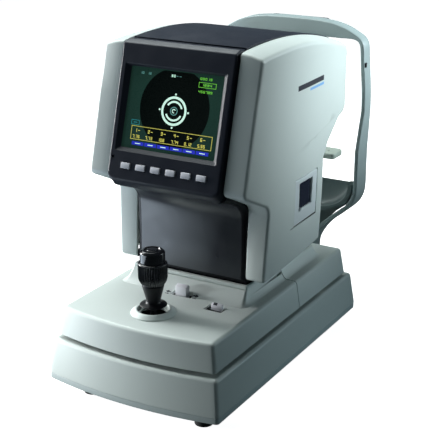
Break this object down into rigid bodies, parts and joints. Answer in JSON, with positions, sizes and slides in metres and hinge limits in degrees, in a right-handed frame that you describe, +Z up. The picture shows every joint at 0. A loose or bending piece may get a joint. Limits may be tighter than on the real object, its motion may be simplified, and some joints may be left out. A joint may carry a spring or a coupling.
{
  "type": "autorefractor",
  "caption": "Desktop autorefractor: base with face frame and chinrest, joystick stage that slides two ways, lifting optical head with tilted display and side printer.",
  "frame": {"origin": "on the table under the middle of the instrument's overall box", "axes": "+Z up, +X to the operator's right, +Y from the operator towards the patient"},
  "size_m": [0.263, 0.5, 0.4697],
  "materials": {
    "cover": "fine-textured moulded plastic, satin",
    "frame": "fine-textured moulded plastic, satin",
    "plate": "powder coated steel",
    "dark": "semi-gloss dark navy graphite",
    "black": "satin black",
    "rubber": "matt",
    "steel": "ground",
    "alloy": "cast, machined faces",
    "white": "satin",
    "trim": "silver paint, satin",
    "pad": "soft touch",
    "chin": "satin",
    "screen": "gloss",
    "lens": "coated",
    "board": "solder mask",
    "paper": "plain"
  },
  "bodies": {
    "base": {"base_plate": "plate", "base_cover": "cover", "foot_front_left": "rubber", "foot_front_right": "rubber", "foot_rear_left": "rubber", "foot_rear_right": "rubber", "track_left": "steel", "track_right": "steel", "power_supply": "steel", "power_inlet": "black", "frame_bracket": "frame", "face_frame": "frame", "eye_mark_left": "black", "eye_mark_right": "black", "forehead_pad": "pad", "chin_bowl": "frame", "chinrest_housing": "cover", "chinrest_motor": "steel"},
    "power_switch": {"power_switch": "black"},
    "chinrest_screw": {"chinrest_screw": "steel"},
    "chinrest": {"chin_cup": "chin"},
    "carriage": {"carriage_frame": "alloy"},
    "cross_axle": {"cross_axle": "steel"},
    "stage": {"stage_plate": "black", "stage_cover_front": "cover", "stage_cover_rear": "cover", "joystick_bezel": "cover", "guide_column": "steel", "lift_motor": "steel"},
    "lock_lever": {"lock_lever": "white"},
    "stage_key": {"stage_key": "white"},
    "joystick_gimbal": {"joystick_gimbal": "steel"},
    "joystick": {"joystick_stick": "black"},
    "joystick_grip": {"joystick_grip": "black"},
    "joystick_button": {"joystick_button": "black"},
    "lift_screw": {"lift_screw": "steel"},
    "head": {"head_chassis": "alloy", "side_cover_left": "cover", "side_cover_right": "cover", "front_bezel": "dark", "top_cover": "dark", "lower_front_panel": "dark", "rear_cover": "cover", "head_skirt": "black", "display_panel": "screen", "main_board": "board", "optics_tube": "alloy", "objective_lens": "lens", "nose_ring": "dark", "printer_bay": "black"},
    "paper_roll": {"paper_roll": "paper"},
    "platen_roller": {"platen_roller": "rubber"},
    "printer_door": {"printer_door": "trim"},
    "key_1": {"key_1": "white"},
    "key_2": {"key_2": "white"},
    "key_3": {"key_3": "white"},
    "key_4": {"key_4": "white"},
    "key_5": {"key_5": "white"},
    "key_6": {"key_6": "white"}
  },
  "joints": [
    {"name": "power_switch_tilt", "type": "hinge", "parent": "base", "child": "power_switch", "pos_m": [-0.067, 0.178, 0.0625], "axis": [1, 0, 0], "range_deg": [-6, 6]},
    {"name": "chinrest_height", "type": "slide", "parent": "base", "child": "chinrest", "axis": [0, 0, 1], "range_m": [-0.02, 0.045]},
    {"name": "chinrest_screw_spin", "type": "hinge", "parent": "base", "child": "chinrest_screw", "pos_m": [0, 0.218, 0.1125], "axis": [0, 0, 1], "range_deg": [-905, 2030]},
    {"name": "stage_fore_aft", "type": "slide", "parent": "base", "child": "carriage", "axis": [0, 1, 0], "range_m": [-0.02, 0.02]},
    {"name": "axle_roll", "type": "hinge", "parent": "carriage", "child": "cross_axle", "pos_m": [0, 0, 0.066], "axis": [1, 0, 0], "range_deg": [-97, 97]},
    {"name": "stage_side_to_side", "type": "slide", "parent": "carriage", "child": "stage", "axis": [1, 0, 0], "range_m": [-0.043, 0.043]},
    {"name": "lock_lever_slide", "type": "slide", "parent": "stage", "child": "lock_lever", "axis": [1, 0, 0], "range_m": [-0.005, 0.005]},
    {"name": "stage_key_press", "type": "slide", "parent": "stage", "child": "stage_key", "axis": [0, 0, 1], "range_m": [-0.0015, 0], "stiffness_N_per_m": 400},
    {"name": "joystick_tilt_fore_aft", "type": "hinge", "parent": "stage", "child": "joystick_gimbal", "pos_m": [0, -0.177, 0.11], "axis": [1, 0, 0], "range_deg": [-8, 8]},
    {"name": "joystick_tilt_sideways", "type": "hinge", "parent": "joystick_gimbal", "child": "joystick", "pos_m": [0, -0.177, 0.11], "axis": [0, 1, 0], "range_deg": [-8, 8]},
    {"name": "joystick_grip_turn", "type": "hinge", "parent": "joystick", "child": "joystick_grip", "pos_m": [0, -0.177, 0.185], "axis": [0, 0, 1], "continuous": true},
    {"name": "joystick_button_press", "type": "slide", "parent": "joystick", "child": "joystick_button", "axis": [0, 0, 1], "range_m": [-0.0015, 0], "stiffness_N_per_m": 600},
    {"name": "head_lift", "type": "slide", "parent": "stage", "child": "head", "axis": [0, 0, 1], "range_m": [-0.003, 0.027]},
    {"name": "lift_screw_spin", "type": "hinge", "parent": "stage", "child": "lift_screw", "pos_m": [0, 0.06, 0.138], "axis": [0, 0, 1], "range_deg": [-140, 1220]},
    {"name": "paper_roll_spin", "type": "hinge", "parent": "head", "child": "paper_roll", "pos_m": [0.079, 0.028, 0.246], "axis": [1, 0, 0], "continuous": true},
    {"name": "platen_spin", "type": "hinge", "parent": "head", "child": "platen_roller", "pos_m": [0.082, 0.06, 0.224], "axis": [1, 0, 0], "continuous": true},
    {"name": "printer_door_swing", "type": "hinge", "parent": "head", "child": "printer_door", "pos_m": [0.1155, 0.033, 0.214], "axis": [0, 1, 0], "range_deg": [0, 75]},
    {"name": "key_1_press", "type": "slide", "parent": "head", "child": "key_1", "axis": [0, 0.9632, -0.2688], "range_m": [0, 0.001], "stiffness_N_per_m": 300},
    {"name": "key_2_press", "type": "slide", "parent": "head", "child": "key_2", "axis": [0, 0.9632, -0.2688], "range_m": [0, 0.001], "stiffness_N_per_m": 300},
    {"name": "key_3_press", "type": "slide", "parent": "head", "child": "key_3", "axis": [0, 0.9632, -0.2688], "range_m": [0, 0.001], "stiffness_N_per_m": 300},
    {"name": "key_4_press", "type": "slide", "parent": "head", "child": "key_4", "axis": [0, 0.9632, -0.2688], "range_m": [0, 0.001], "stiffness_N_per_m": 300},
    {"name": "key_5_press", "type": "slide", "parent": "head", "child": "key_5", "axis": [0, 0.9632, -0.2688], "range_m": [0, 0.001], "stiffness_N_per_m": 300},
    {"name": "key_6_press", "type": "slide", "parent": "head", "child": "key_6", "axis": [0, 0.9632, -0.2688], "range_m": [0, 0.001], "stiffness_N_per_m": 300}
  ],
  "couplings": [
    {"joint": "axle_roll", "follows": "stage_fore_aft", "rad_per_m": -83.333},
    {"joint": "lift_screw_spin", "follows": "head_lift", "rad_per_m": 785.4},
    {"joint": "chinrest_screw_spin", "follows": "chinrest_height", "rad_per_m": 785.4}
  ]
}
